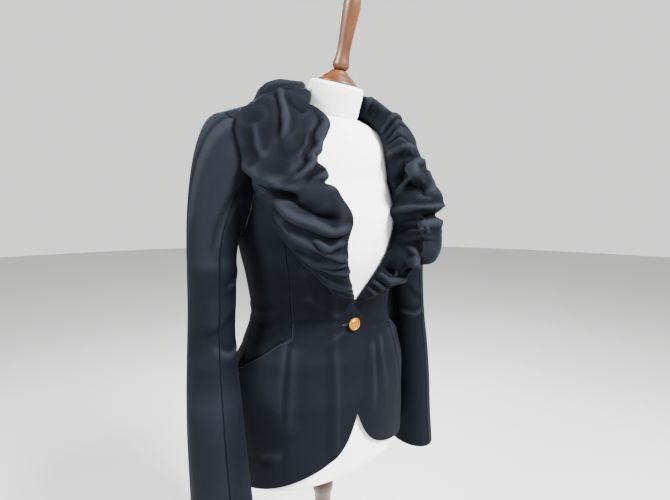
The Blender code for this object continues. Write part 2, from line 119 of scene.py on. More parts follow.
# turned profiles as (radius, height), from the foot of each piece up
CAP = (
    (.0318, 0), (.0328, .0004), (.0334, .0013), (.0335, .0023), (.0331, .0034), (.0324, .0040),
    (.0300, .0052), (.0276, .0074), (.0252, .0098), (.0222, .0120), (.0190, .0138),
    (.0166, .0154), (.0150, .0174), (.0134, .0187), (.0122, .0196), (.0108, .0200))
FINIAL = (
    (.0094, 0), (.0104, .0006), (.0128, .0026), (.0141, .0050), (.0145, .0072), (.0142, .0096),
    (.0132, .0135), (.0121, .0185), (.0114, .0240), (.0112, .0310), (.0114, .0390),
    (.0119, .0490), (.0126, .0600), (.0133, .0700), (.0139, .0800), (.0142, .0880),
    (.0138, .0948), (.0127, .1000), (.0104, .1040), (.0066, .1063), (.0030, .1070))
POLE = (
    (.0290, .0284), (.0305, .0300), (.0311, .0330), (.0305, .0362), (.0262, .0400),
    (.0226, .0450), (.0190, .0520), (.0168, .0620), (.0160, .0800), (.0160, .1000),
    (.0172, .1800), (.0183, .2500), (.0185, .3000), (.0182, .3700), (.0172, .4600),
    (.0165, .5200), (.0160, .6000), (.0160, .6600), (.0172, .6680), (.0200, .6760),
    (.0210, .6840), (.0200, .6920), (.0170, .6980), (.0162, .7050), (.0180, .7150),
    (.0215, .7260), (.0280, .7420), (.0326, .7520), (.0345, .7620), (.0351, POLE_TOP - .0080),
    (.0348, POLE_TOP - .0020), (.0338, POLE_TOP))
BASE = (
    (.1490, 0), (.1530, .0012), (.1556, .0040), (.1562, .0080), (.1562, .0130), (.1553, .0164),
    (.1528, .0192), (.1490, .0207), (.1430, .0212), (.1400, .0224), (.1360, .0228),
    (.1100, .0234), (.0800, .0250), (.0600, .0262), (.0500, .0276), (.0440, .0280),
    (.0380, .0280))
DOME = (
    (.0032, -.0028), (.0034, .0002), (.0086, .0007), (.0098, .0011), (.0105, .0017),
    (.0106, .0023), (.0103, .0028), (.0096, .0030), (.0091, .0028), (.0088, .0025),
    (.0084, .0026), (.0080, .0030), (.0066, .0038), (.0050, .0044), (.0030, .0048),
    (.0012, .0050))


def curve(x, xs, ys):
    """Smooth interpolation that never overshoots its control values."""
    xs, ys = np.asarray(xs, float), np.asarray(ys, float)
    h = np.diff(xs)
    d = np.diff(ys) / h
    same = d[:-1] * d[1:] > 0
    m = np.zeros(len(xs))
    m[1:-1][same] = 2 * (d[:-1] * d[1:])[same] / (d[:-1] + d[1:])[same]
    m[0], m[-1] = d[0], d[-1]
    x = np.clip(np.asarray(x, float), xs[0], xs[-1])
    i = np.clip(np.searchsorted(xs, x) - 1, 0, len(h) - 1)
    u = (x - xs[i]) / h[i]
    return ((1 + 2 * u) * (1 - u) ** 2 * ys[i] + u * (1 - u) ** 2 * h[i] * m[i]
            + u * u * (3 - 2 * u) * ys[i + 1] + u * u * (u - 1) * h[i] * m[i + 1])


def ramp(x, a, b):
    """0 at a rising smoothly to 1 at b."""
    u = np.clip((x - a) / (b - a), 0, 1)
    return u * u * (3 - 2 * u)


def along(points, n):
    """n + 1 even steps along a smooth line through (t, h) points."""
    p = np.array(points, float)
    steps = np.hypot(np.diff(p[:, 0]) * DEGREE, np.diff(p[:, 1]))
    run = np.concatenate([[0], np.cumsum(steps)])
    u = np.linspace(0, run[-1], n + 1)
    return np.stack([curve(u, run, p[:, 0]), curve(u, run, p[:, 1])], -1)


def ring(t, h, ease):
    """The level section at height h."""
    a = np.radians(t)
    s, c = np.sin(a), np.cos(a)
    hs = h + FRONT_DROP * c
    side = curve(hs, RING_H, RING_SIDE) + ease
    deep = np.where(c > 0, curve(hs, RING_H, RING_FRONT), curve(hs, RING_H, RING_BACK)) + ease
    r = (np.abs(s / side) ** SQUARE + np.abs(c / deep) ** SQUARE) ** (-1 / SQUARE)
    return r * s, -r * c


def shoulder(t, ease):
    """The top of the column at t: the shoulder seam, then the back neck."""
    neck, tip, back = map(np.array, (SHOULDER_NECK, SHOULDER_TIP, NECK_BACK))
    q = np.where(t < 90, (t - NECK_T[0]) / (TIP_T[0] - NECK_T[0]),
                 (NECK_T[1] - t) / (NECK_T[1] - TIP_T[1]))
    qs = np.clip(q, 0, 1.1)[..., None]
    p = neck + (tip - neck) * qs
    p[..., 2] += .006 * np.sin(np.pi * np.clip(q, 0, 1))
    k = np.clip((t - NECK_T[1]) / (180 - NECK_T[1]), 0, 1)
    round_neck = neck + (back - neck) * np.stack([k, np.sin(k * np.pi / 2), k], -1)
    p = np.where(k[..., None] > 0, round_neck, p)
    p[..., 2] += ease
    return p


def body(t, h, ease=0.):
    """Points on the wearer's left of the jacket's inner face."""
    t, h, ease = np.broadcast_arrays(np.asarray(t, float), np.asarray(h, float), ease)
    x, y = ring(t, np.minimum(h, BUST_H), ease)
    low = np.stack([x, y, np.minimum(h, BUST_H)], -1)
    top = shoulder(t, ease)
    lift = top[..., 2] - BUST_H
    zero = np.zeros_like(lift)
    first = low + np.stack([zero, zero, .55 * lift], -1)
    last = top + np.stack([zero, np.where(t < 90, -.05, .055), zero], -1)
    w = np.clip((h - BUST_H) / (TOP_H - BUST_H), 0, 1)[..., None]
    up = ((1 - w) ** 3 * low + 3 * w * (1 - w) ** 2 * first + 3 * w * w * (1 - w) * last
          + w ** 3 * top)
    p = np.where(w > 0, up, low)
    return p + [0, 0, WAIST_Z]


def body_normal(t, h):
    """The outward normal of the body surface."""
    turn, rise = .4, .003
    up = np.where(np.asarray(h) > TOP_H - 2 * rise, -rise, rise)
    a = body(np.asarray(t) + turn, h) - body(np.asarray(t) - turn, h)
    b = (body(t, h + up) - body(t, h)) * np.sign(up)[..., None]
    n = np.cross(a, b)
    return n / np.linalg.norm(n, axis=-1, keepdims=True)


def patch(left, right, bottom, top):
    """A Coons patch in (t, h); rows run from bottom to top."""
    u = np.linspace(0, 1, len(bottom))[None, :, None]
    v = np.linspace(0, 1, len(left))[:, None, None]
    corners = ((1 - u) * (1 - v) * bottom[0] + u * (1 - v) * bottom[-1]
               + (1 - u) * v * top[0] + u * v * top[-1])
    return ((1 - v) * bottom[None] + v * top[None] + (1 - u) * left[:, None]
            + u * right[:, None] - corners)


def between(grid, index, axis):
    """Rows or columns of a grid at fractional places."""
    index = np.asarray(index, float)
    low = np.clip(index.astype(int), 0, grid.shape[axis] - 2)
    shape = [1] * grid.ndim
    shape[axis] = len(index)
    w = (index - low).reshape(shape)
    return np.take(grid, low, axis) * (1 - w) + np.take(grid, low + 1, axis) * w


def rim_rows(count, pitch, edges):
    """Places 0 to count - 1, with closer ones beside each edge, given as (place, direction)."""
    places = set(np.arange(count, dtype=float))
    for place, way in edges:
        for step in (.0005, .0011, .0019):
            places.add(place + way * step / pitch)
    return np.array(sorted(places))


def add_rims(grid, row_pitch, col_pitch):
    """Closer rows and columns along all four edges of a grid."""
    for axis, pitch in enumerate((row_pitch, col_pitch)):
        count = grid.shape[axis]
        grid = between(grid, rim_rows(count, pitch, ((0, 1), (count - 1, -1))), axis)
    return grid


def on_grid(grid, rows, cols):
    """Points of a grid at fractional rows and columns."""
    return np.array([between(between(grid, [j], 0), [i], 1)[0, 0]
                     for j, i in zip(rows, cols)])


def border_edges(quads):
    """The edges that one quad alone has, each with that quad."""
    border = {}
    for q in quads:
        for a, b in zip(q, q[1:] + q[:1]):
            if border.pop((b, a), None) is None:
                border[(a, b)] = q
    return border


def rim_distance(points, quads, border):
    """How far each point lies from the edge of its piece, measured along the cloth."""
    distance = np.full(len(points), 1.)
    distance[[i for edge in border for i in edge]] = 0
    pairs = np.array(sorted({(min(e), max(e)) for q in quads for e in zip(q, q[1:] + q[:1])}))
    length = np.linalg.norm(points[pairs[:, 0]] - points[pairs[:, 1]], axis=1)
    for _ in range(6):
        np.minimum.at(distance, pairs[:, 0], distance[pairs[:, 1]] + length)
        np.minimum.at(distance, pairs[:, 1], distance[pairs[:, 0]] + length)
    return distance


def grid_normals(grid, closed=False):
    """Unit normals of a grid of points, rows by columns."""
    if closed:
        wide = np.concatenate([grid[:, -2:-1], grid, grid[:, 1:2]], 1)
        across = wide[:, 2:] - wide[:, :-2]
    else:
        across = np.gradient(grid, axis=1)
    n = np.cross(across, np.gradient(grid, axis=0))
    return n / np.maximum(np.linalg.norm(n, axis=-1, keepdims=True), 1e-12)


def smooth_line(points, count=28):
    """A smooth line through a few points."""
    p = np.array(points, float)
    run = np.concatenate([[0], np.cumsum(np.linalg.norm(np.diff(p, axis=0), axis=1))])
    u = np.linspace(0, run[-1], count)
    return np.stack([curve(u, run, p[:, k]) for k in range(p.shape[1])], -1)


def crease(grid, normals, line, lift, wide, valley=0., over=0., ends=.22, sharp=1.35):
    """Raise a ridge of half width wide along a line on the cloth. A negative lift is a trough.
    valley digs a trough beside it on the line's left, and over rolls the ridge that way."""
    shape = grid.shape
    p, n = grid.reshape(-1, 3), normals.reshape(-1, 3)
    middle, half = (line.max(0) + line.min(0)) / 2, np.ptp(line, axis=0) / 2 + 3.5 * wide
    near = np.where((np.abs(p - middle) < half).all(1))[0]
    if not len(near):
        return grid
    q = p[near]
    a, b = line[:-1], line[1:]
    d = b - a
    u = np.clip(((q[:, None] - a) * d).sum(-1) / (d * d).sum(-1), 0, 1)
    foot = a + u[..., None] * d
    gap = np.linalg.norm(q[:, None] - foot, axis=-1)
    k = gap.argmin(1)
    pick = np.arange(len(q))
    x = gap[pick, k]
    place = (k + u[pick, k]) / len(d)
    left = np.cross(n[near], d[k])
    left /= np.maximum(np.linalg.norm(left, axis=1, keepdims=True), 1e-12)
    x = x * np.sign(((q - foot[pick, k]) * left).sum(1))
    fade = ramp(place, -.001, ends) * ramp(place, 1.001, 1 - ends) if ends else 1.
    bump = np.exp(-np.abs(x / wide) ** sharp)
    dig = np.exp(-np.abs((x - 1.25 * wide) / (.62 * wide)) ** sharp)
    high = (lift * bump - valley * dig) * fade
    shift = over * bump * fade
    out = p.copy()
    out[near] += n[near] * high[:, None] + left * shift[:, None]
    return out.reshape(shape)


def hollows(grid, normals):
    """How far the cloth stands out from its surroundings, from -1 in a hollow to 1; it sets the
    painted shade in hollows and the painted highlight on ridges in the wool's colour.
    """
    mean, reach = grid, 4
    for axis in (0, 1):
        pad = [(reach, reach) if k == axis else (0, 0) for k in range(3)]
        wide = np.pad(mean, pad, mode="reflect", reflect_type="odd")
        mean = sum(np.take(wide, range(k, k + grid.shape[axis]), axis)
                   for k in range(2 * reach + 1)) / (2 * reach + 1)
    return np.tanh(((grid - mean) * normals).sum(-1) / .0009)


def new_piece(name, points, faces, material, node):
    """A smooth mesh that stands for a CAD node."""
    mesh = bpy.data.meshes.new(name)
    mesh.from_pydata(points.tolist(), [], faces)
    mesh.polygons.foreach_set("use_smooth", [True] * len(mesh.polygons))
    mesh.materials.append(material)
    piece = bpy.data.objects.new(name, mesh)
    bpy.context.scene.collection.objects.link(piece)
    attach(piece, "root")
    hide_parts(node)
    return piece


def cloth(name, node, grid, normals, side, keep=None):
    """A closed wall of cloth with rounded edges, in place of a CAD node."""
    rows, cols = grid.shape[:2]
    quads = [(j * cols + i, j * cols + i + 1, (j + 1) * cols + i + 1, (j + 1) * cols + i)
             for j in range(rows - 1) for i in range(cols - 1) if keep is None or keep(j, i)]
    across = np.linalg.norm(np.diff(grid, axis=1), axis=-1)
    down = np.linalg.norm(np.diff(grid, axis=0), axis=-1)
    u = np.concatenate([np.zeros((rows, 1)), np.cumsum(across, 1)], 1)
    v = np.concatenate([np.zeros((1, cols)), np.cumsum(down, 0)], 0)
    used = sorted({i for q in quads for i in q})
    index = {old: new for new, old in enumerate(used)}
    quads = [tuple(index[i] for i in q) for q in quads]
    points = grid.reshape(-1, 3)[used]
    border = border_edges(quads)
    distance = rim_distance(points, quads, border)
    inner = draw_in(points, border)
    flat = np.clip(distance / RIM, 0, 1)
    thick = WALL * (.55 + .45 * np.sqrt(1 - (1 - flat) ** 2))
    outer = inner + normals.reshape(-1, 3)[used] * thick[:, None]
    n = len(used)
    faces = ([tuple(i + n for i in q) for q in quads] + [q[::-1] for q in quads]
             + [(a, b, b + n, a + n) for a, b in border])
    if side < 0:
        faces = [f[::-1] for f in faces]
    points = np.concatenate([inner, outer]) * [side, 1, 1]
    piece = new_piece(name, points, faces, WOOL, node)
    mesh = piece.data
    uv = np.stack([u.reshape(-1)[used], v.reshape(-1)[used]], -1)
    uv = np.concatenate([uv, uv])
    corner = np.zeros(len(mesh.loops), np.int32)
    mesh.loops.foreach_get("vertex_index", corner)
    mesh.uv_layers.new(name="thread").data.foreach_set("uv", uv[corner].ravel())
    # painted shade and highlight: this mask darkens the wool's colour in fold hollows and lightens
    # it on ridges
    raised = hollows(grid, normals).reshape(-1)[used]
    # painted shade along the edges of each piece, where the pieces meet
    raised[distance < .001] = np.minimum(raised[distance < .001], -.2)
    mesh.attributes.new("raised", "FLOAT", "POINT").data.foreach_set(
        "value", np.concatenate([raised, raised]))
    return piece


def draw_in(points, border):
    """Move a sheet's border inward."""
    shift = np.zeros_like(points)
    for (a, b), quad in border.items():
        way = points[b] - points[a]
        way /= max(np.linalg.norm(way), 1e-9)
        inward = points[list(quad)].mean(0) - (points[a] + points[b]) / 2
        inward -= way * (inward @ way)
        inward /= max(np.linalg.norm(inward), 1e-9)
        shift[a] += inward
        shift[b] += inward
    return points + shift * SEAM


def lap_ease(t, h, side):
    """The right front rides over the left round the button."""
    return UNDERLAP * ramp(t, 26, 17) * ramp(h, .075, .045) if side < 0 else 0 * t


def pocket_ease(t, h):
    """How far the hip stands off at the pocket mouth."""
    return (.0025 + .0095 * ramp(t, 56, 86)) * ramp(t, 54, 57) * ramp(h, -.18, -.085)


def crumple(grid, normals, amount, size, seed):
    """Small soft creases all over, from ridged noise."""
    flat = (grid / size + seed).reshape(-1, 3)
    ridges = np.array([1 - 2.2 * abs(noise.noise(Vector(p))) for p in flat])
    return grid + normals * (ridges.reshape(grid.shape[:2]) * amount)[..., None]


def press_folds(grid, t, h, folds, side):
    """Work a list of soft folds, each with its line in (t, h), into a body panel."""
    normals = body_normal(t, h)
    for which, line, lift, wide, *more in folds:
        if which in (0, side):
            line = smooth_line(line)
            there = body(line[:, 0], line[:, 1], lap_ease(line[:, 0], line[:, 1], side))
            grid = crease(grid, normals, there, lift, wide, *more)
    return grid


def make_front(side, tag):
    upper_rows, lower_rows, inner_cols, outer_cols = 112, 70, 54, 35
    waist = np.stack([np.linspace(-14.5, 54, inner_cols + 1),
                      np.full(inner_cols + 1, -.028)], -1)
    princess = along(PRINCESS, 77)
    armhole = along(ARMHOLE_FRONT, 35)
    top = along(((17, TOP_H), (72, TOP_H)), inner_cols)
    upper = patch(along(NECKLINE, upper_rows), np.concatenate([princess, armhole[1:]]), waist, top)
    pocket = along(POCKET_LINE, outer_cols)
    mouth = np.concatenate([waist, pocket[1:]])
    edge = smooth_line(FRONT_EDGE + FRONT_HEM[1:])
    turned = int(np.argmin(np.abs(edge[:, 0] - 8)))
    lower = patch(along(edge[turned::-1], lower_rows),
                  along(((90, HEM_H), (90, -.090)), lower_rows),
                  along(edge[turned:], inner_cols + outer_cols), mouth)
    row = rim_rows(lower_rows + 1, .0028, ((0, 1), (lower_rows, -1)))
    col = rim_rows(inner_cols + outer_cols + 1, .0030,
                   ((0, 1), (inner_cols, -1), (inner_cols + outer_cols, -1)))
    lower = between(between(lower, row, 0), col, 1)
    inner = col[col <= inner_cols]
    up_row = rim_rows(upper_rows + 1, .0034, ((upper_rows, -1),))
    upper = between(between(upper, up_row, 0), inner, 1)
    th = np.zeros((len(lower) + len(upper) - 1, len(col), 2))
    th[:len(lower)] = lower
    th[len(lower) - 1:, :len(inner)] = upper
    foot, turn = len(lower) - 1, len(inner) - 1
    t, h = th[..., 0], th[..., 1]
    ease = lap_ease(t, h, side)
    ease = ease + np.where(np.arange(len(th))[:, None] <= foot, pocket_ease(t, h), 0)
    grid = press_folds(body(t, h, ease), t, h, FRONT_FOLDS, side)
    piece = cloth(f"front_{tag}_wool", f"front_{tag}", grid, body_normal(t, h), side,
                  lambda j, i: j < foot or i < turn)


def make_side_front(side, tag):
    """The underarm panel; its foot is tucked inside the pocket mouth."""
    rows, cols = 77, 42
    th = patch(along(PRINCESS, rows), along(((90, -.085), (90, .133)), rows),
               along(POCKET_LINE, cols), along(ARMHOLE_UNDER, cols))
    th = add_rims(th, .0029, .0024)
    place = np.linspace(0, 1, th.shape[1])
    tuck = th[0] + np.stack([5 - 5.3 * place, np.full(len(place), -.013)], -1)
    th = np.concatenate([tuck[None], th])
    t, h = th[..., 0], th[..., 1]
    ease = np.zeros(th.shape[:2])
    ease[0] = -.0022 - .0022 * ramp(th[1, :, 0], 62, 55)
    for j in range(1, 8):
        ease[j] = -.0022 * ramp(t[1], 54, 60) * (1 - j / 8)
    grid = press_folds(body(t, h, ease), t, h, FRONT_FOLDS, side)
    piece = cloth(f"side_front_{tag}_wool", f"side_front_{tag}", grid, body_normal(t, h),
                  side)


def make_back(side, tag):
    rows, cols = 168, 70
    left = np.concatenate([along(((90, HEM_H), (90, .133)), 98), along(ARMHOLE_BACK, 70)[1:]])
    th = patch(left, along(((180, -.289), (180, TOP_H)), rows), along(BACK_HEM, cols),
               along(((104, TOP_H), (167, TOP_H), (180, TOP_H)), cols))
    th = add_rims(th, .0037, .0028)
    t, h = th[..., 0], th[..., 1]
    ease = .010 * ramp(t, 128, 92) * ramp(h, -.18, -.10) * ramp(h, -.055, -.09)
    grid = press_folds(body(t, h, ease), t, h, BACK_FOLDS, side)
    piece = cloth(f"back_{tag}_wool", f"back_{tag}", grid, body_normal(t, h), side)


def sleeve_grid(side):
    """Rows run from the armhole to the cuff, columns round from the shoulder by the front."""
    loop = np.concatenate([along(ARMHOLE_FRONT, 30)[::-1], along(ARMHOLE_UNDER, 42)[1:],
                           along(ARMHOLE_BACK, 60)[1:]])
    n = len(loop) - 1
    start = body(loop[:, 0], loop[:, 1]) + body_normal(loop[:, 0], loop[:, 1]) * WALL
    start[0] = start[-1] = (start[0] + start[-1]) / 2
    start += [.0005, 0, 0]
    around = SLEEVE_TURNS * np.pi
    high = (1 + np.cos(around)) / 2
    levels = np.concatenate([np.linspace(SLEEVE_H[0], .06, 11)[:-1],
                             np.linspace(.06, SLEEVE_H[-1], 105)])
    rings = []
    for h in levels:
        x, y, r = (curve(-h, [-k for k in SLEEVE_H], v)
                   for v in (SLEEVE_X, SLEEVE_Y[side], SLEEVE_R))
        rings.append(np.stack([x + .9 * r * np.cos(around), y - 1.2 * r * np.sin(around),
                               np.full(n + 1, WAIST_Z + h)], -1))
    end = rings[0]
    out = np.stack([.006 + .026 * high, 0 * high, -.002 - .006 * high], -1)
    up = np.stack([0 * high, 0 * high, .010 + .10 * high], -1)
    cap = []
    for w in np.linspace(0, 1, 37)[:-1]:
        cap.append((1 - w) ** 3 * start + 3 * w * (1 - w) ** 2 * (start + out)
                   + 3 * w * w * (1 - w) * (end + up) + w ** 3 * end)
    return np.array(cap + rings)


def make_sleeve(side, tag):
    """Two pieces; a fold's line is given by turns round the sleeve and height."""
    grid = sleeve_grid(side)
    normals = grid_normals(grid, closed=True)
    rows, count = grid.shape[0], grid.shape[1] - 1
    heights = grid[:, :, 2].mean(1) - WAIST_Z
    for which, line, lift, wide, *more in SLEEVE_FOLDS:
        if which in (0, side):
            line = smooth_line(line)
            col = np.interp(line[:, 0] % 2, SLEEVE_TURNS, np.arange(count + 1))
            row = np.interp(-line[:, 1], -heights, np.arange(rows))
            grid = crease(grid, normals, on_grid(grid, row, col), lift, wide, *more)
    grid[:, -1] = grid[:, 0]
    row = rim_rows(rows, .0038, ((0, 1), (rows - 1, -1)))
    for name, start, end in (("under", 30, 102), ("top", 102 - count, 30)):
        col = np.array([*range(start, end + 1)]) % count
        part, face = grid[:, col], normals[:, col]
        place = rim_rows(end - start + 1, .0024, ((0, 1), (end - start, -1)))
        part = between(between(part, place, 1), row, 0)
        face = between(between(face, place, 1), row, 0)
        face /= np.linalg.norm(face, axis=-1, keepdims=True)
        piece = cloth(f"{name}_sleeve_{tag}_wool", f"{name}_sleeve_{tag}", part - face * WALL,
                      face, side)


def collar_grid(side, count, v):
    """The collar's plain roll, from the centre back over the shoulder to the button."""
    across, up = (curve(v, SECTION_V, k) for k in (SECTION_ACROSS, SECTION_UP))
    fall = ramp(v, .35, .7)
    f = np.clip(across, 0, 1)
    stations = []
    for ((ta, ha), (tf, hf)), (crest, over, lean_in) in zip(COLLAR_LINES, COLLAR_RISES[side]):
        t, h = ta + (tf - ta) * f, ha + (hf - ha) * f
        normal = body_normal(t, h)
        if ha == TOP_H:
            lean = ramp(f, .5, 0.)[:, None]
            normal = normal * (1 - lean) + np.array([0, .15, 1.]) * lean
            normal /= np.linalg.norm(normal, axis=-1, keepdims=True)
        rise = up * (crest * (1 - fall) + over * fall)
        p = body(t, h, lap_ease(t, h, side)) + normal * rise[:, None]
        p[:, 2] += .0028 if ha == TOP_H else 0
        inward = body(ta, ha) - body(ta + .2 * (tf - ta), ha + .2 * (hf - ha))
        stations.append(p + inward * np.clip(-across, 0, 1)[:, None] * lean_in)
    stations = np.array(stations)
    run = np.cumsum(np.linalg.norm(np.diff(stations[:, len(v) // 2], axis=0), axis=1))
    run = np.concatenate([[0], run])
    s = np.linspace(0, run[-1], count)
    return np.array([np.stack([curve(s, run, stations[:, j, k]) for k in range(3)], -1)
                     for j in range(len(v))])


def make_collar(side, tag):
    """The gathered roll; a fold's line is given by (s, v), s from the centre back to the
    button and v from the seam over the crest to the outer edge."""
    v = np.linspace(0, 1, 121)
    grid = collar_grid(side, 353, v)
    n = grid_normals(grid)
    along_s, row = np.linspace(0, 1, grid.shape[1])[None], v[:, None]
    for s0, v0, ds, dv, dx, dy, dz in COLLAR_NUDGES[side]:
        pull = np.exp(-((along_s - s0) / ds) ** 2 - ((row - v0) / dv) ** 2)
        grid = grid + pull[..., None] * [dx, dy, dz]
    for line, lift, wide, *more in COLLAR_FOLDS[side]:
        line = smooth_line(line)
        there = on_grid(grid, line[:, 1] * (len(v) - 1), line[:, 0] * (grid.shape[1] - 1))
        grid = crease(grid, n, there, lift, wide, *more)
        n = grid_normals(grid)
    loose = ramp(row, 0, .25) * ramp(along_s, 1., .90) * ramp(along_s, 0, .05)
    rough = crumple(grid, n, .0011, .034, 3.1) - grid
    grid = grid + rough * loose[..., None]
    grid[:, 0, 0] = 0
    grid = add_rims(grid, .0018, .0024)
    n = grid_normals(grid)
    n[:, 0, 0] = 0
    piece = cloth(f"collar_{tag}_wool", f"collar_{tag}", grid, n, side)


def make_form():
    """The limbless form with its knitted cover, and the seams at the neck."""
    t = np.linspace(0, 360, 161)[:-1]
    fold = np.where(t <= 180, t, 360 - t)
    side = np.where(t <= 180, 1, -1)[:, None] * [1, 0, 0] + [0, 1, 1]
    axis = np.array([0, -math.sin(NECK_LEAN), math.cos(NECK_LEAN)])
    cross = np.array([0, -math.cos(NECK_LEAN), -math.sin(NECK_LEAN)])
    a = np.radians(t)

    def neck(height, radius):
        base = np.array(NECK_BASE) + [0, 0, WAIST_Z]
        seam = np.exp(-(((t + 180) % 360 - 180 - 26) / 2.6) ** 2) * .0007
        r = radius - seam
        return (base + axis * height + np.outer(np.sin(a) * r, [1, 0, 0])
                + np.outer(np.cos(a) * r, cross))

    rings = []
    for h, pull in ((FORM_BOTTOM_H, .0075), (FORM_BOTTOM_H + .0012, .0035),
                    (FORM_BOTTOM_H + .0035, .0008), *((k, 0.) for k in
                                                      np.linspace(-.27, BUST_H, 56))):
        x, y = ring(fold, np.full_like(t, h), -.005 - pull)
        rings.append(np.stack([x, y, np.full_like(t, WAIST_Z + h)], -1) * side)
    low, high = rings[-1], neck(0, NECK_RADIUS)
    lift = (high - low)[:, 2:]
    out = np.abs(np.sin(a))[:, None]
    first = low + lift * [0, 0, .5]
    reach = (high - high.mean(0)) / NECK_RADIUS
    last = (high + reach * (.014 + .082 * out ** 3) * [1, 1, 0]
            + out ** 2 * [0, .034, 0] - [0, 0, .013])
    for w in (*np.linspace(.04, .92, 24), .95, .97, .982):
        rings.append((1 - w) ** 3 * low + 3 * w * (1 - w) ** 2 * first
                     + 3 * w * w * (1 - w) * last + w ** 3 * high)
    rings += [neck(.0, NECK_RADIUS - .0008), neck(.0012, NECK_RADIUS - .0004),
              neck(.0028, NECK_RADIUS + .0003), neck(.005, NECK_RADIUS + .0004),
              neck(.016, NECK_RADIUS + .0006), neck(.032, NECK_RADIUS + .0012),
              neck(.043, NECK_RADIUS + .0012), neck(.0468, NECK_RADIUS + .0002),
              neck(.0487, NECK_RADIUS - .0024), neck(.049, NECK_RADIUS - .0045)]
    n = len(t)
    points = np.concatenate(rings)
    top = (len(rings) - 1) * n
    faces = [tuple(range(n))[::-1], *(
        (j + i, j + (i + 1) % n, j + n + (i + 1) % n, j + n + i)
        for j in range(0, top, n) for i in range(n)), tuple(range(top, top + n))]
    piece = new_piece("form_torso_jersey", points, faces, JERSEY, "form_torso")


def edit_all():
    bpy.ops.object.mode_set(mode="EDIT")
    bpy.ops.mesh.select_all(action="SELECT")


def point_outward():
    """Turn all faces outward and leave edit mode."""
    bpy.ops.mesh.select_all(action="SELECT")
    bpy.ops.mesh.normals_make_consistent(inside=False)
    bpy.ops.object.mode_set(mode="OBJECT")


def turn_profile(profile, steps):
    """Turn a solid of (radius, height) steps by extruding a disc upward."""
    bpy.ops.object.select_all(action="DESELECT")
    r, z = profile[0]
    bpy.ops.mesh.primitive_circle_add(vertices=steps, radius=r, fill_type="NGON",
                                      location=(0, 0, z))
    bpy.ops.object.transform_apply()
    edit_all()
    for (r0, z0), (r1, z1) in zip(profile, profile[1:]):
        bpy.ops.mesh.extrude_region_move(TRANSFORM_OT_translate={"value": (0, 0, z1 - z0)})
        bpy.ops.transform.resize(value=(r1 / r0, r1 / r0, 1), center_override=(0, 0, z1))
    point_outward()
    bpy.ops.object.shade_smooth_by_angle(angle=SMOOTH)
    return bpy.context.object


def set_in_place(piece, name, place, tilt, mat, node=None):
    """Name a modelled piece, move its mesh to its place and give it its material."""
    piece.name = piece.data.name = name
    piece.data.transform(Matrix.Translation(place) @ Matrix.Rotation(tilt, 4, "X"))
    piece.data.materials.clear()
    piece.data.materials.append(mat)
    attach(piece, "root")
    if node:
        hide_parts(node)


def make_stand():
    """The cap and finial lean with the neck; the pole and base stand upright."""
    neck = Vector(NECK_BASE) + Vector((0, 0, WAIST_Z))
    axis = Vector((0, -math.sin(NECK_LEAN), math.cos(NECK_LEAN)))
    floor = Vector((0, 0, 0))
    for node, profile, steps, place, tilt, wood, slot in (
            ("neck_cap", CAP, 96, neck + axis * .0494, NECK_LEAN, BEECH, "beech"),
            ("finial", FINIAL, 96, neck + axis * .0698, NECK_LEAN, BEECH, "beech"),
            ("stand_pole", POLE, 64, floor, 0, STAINED, "stained_wood"),
            ("stand_base", BASE, 128, floor, 0, STAINED, "stained_wood")):
        set_in_place(turn_profile(profile, steps), node + "_turned", place, tilt, wood,
                     node)


def bead(segments, rings, radius, place, turn, scale):
    bpy.ops.mesh.primitive_uv_sphere_add(segments=segments, ring_count=rings, radius=radius,
                                         location=place, rotation=turn, scale=scale)
    return bpy.context.object


def make_button():
    """A domed shank button with a roped rim and a small rosette."""
    dome = turn_profile(DOME, 72)
    parts = [dome]
    for i in range(40):
        a = 2 * math.pi * i / 40
        parts.append(bead(10, 6, .00078, (.0098 * math.cos(a), .0098 * math.sin(a), .0029),
                          (0, 0, a + .7), (1.35, .62, .7)))
    for i in range(8):
        a = 2 * math.pi * i / 8
        parts.append(bead(16, 8, .0019, (.0042 * math.cos(a), .0042 * math.sin(a), .00455),
                          (0, .16, a), (1.15, .48, .36)))
    parts.append(bead(20, 10, .0015, (0, 0, .0050), (0, 0, 0), (1, 1, .5)))
    for part in parts:
        part.select_set(True)
    bpy.context.view_layer.objects.active = dome
    bpy.ops.object.transform_apply()
    bpy.ops.object.join()
    bpy.ops.object.shade_smooth_by_angle(angle=SMOOTH)
    t, h = np.array(0.), np.array(-.010)
    normal = body_normal(t, h)
    place = body(t, h, UNDERLAP) + normal * (WALL + .0038)
    set_in_place(bpy.context.object, "button_gold", Vector(place),
                 math.pi / 2 - math.asin(float(normal[2])), GOLD, "button")


def make_buttonhole():
    """A worked keyhole buttonhole on the right front, beside the button."""
    bpy.ops.object.select_all(action="DESELECT")
    bpy.ops.mesh.primitive_torus_add(major_segments=64, minor_segments=10, major_radius=.0080,
                                     minor_radius=.00075)
    loop = bpy.context.object
    edit_all()
    bpy.ops.transform.resize(value=(1, .16, .7))
    bpy.ops.object.mode_set(mode="OBJECT")
    for v in loop.data.vertices:
        x, y, z = v.co
        t = 6.5 - math.degrees(x / .098)
        h = -.0105 + y
        there = body(t, h, UNDERLAP) + body_normal(np.array(t), np.array(h)) * (WALL + .0004 + z)
        v.co = there * [-1, 1, 1]
    edit_all()
    point_outward()
    bpy.ops.object.shade_smooth()
    set_in_place(loop, "buttonhole_thread", (0, 0, 0), 0, THREAD)


class Wire:
    """A socket of one material, with arithmetic."""

    def __init__(self, shader, socket):
        self.shader, self.socket = shader, socket

    def math(self, operation, *others):
        return self.shader.node("ShaderNodeMath", {"operation": operation}, self, *others)

    def __add__(self, other):
        return self.math("ADD", other)

    def __sub__(self, other):
        return self.math("SUBTRACT", other)

    def __rsub__(self, other):
        return self.shader.node("ShaderNodeMath", {"operation": "SUBTRACT"}, other, self)

    def __mul__(self, other):
        return self.math("MULTIPLY", other)

    __radd__, __rmul__ = __add__, __mul__


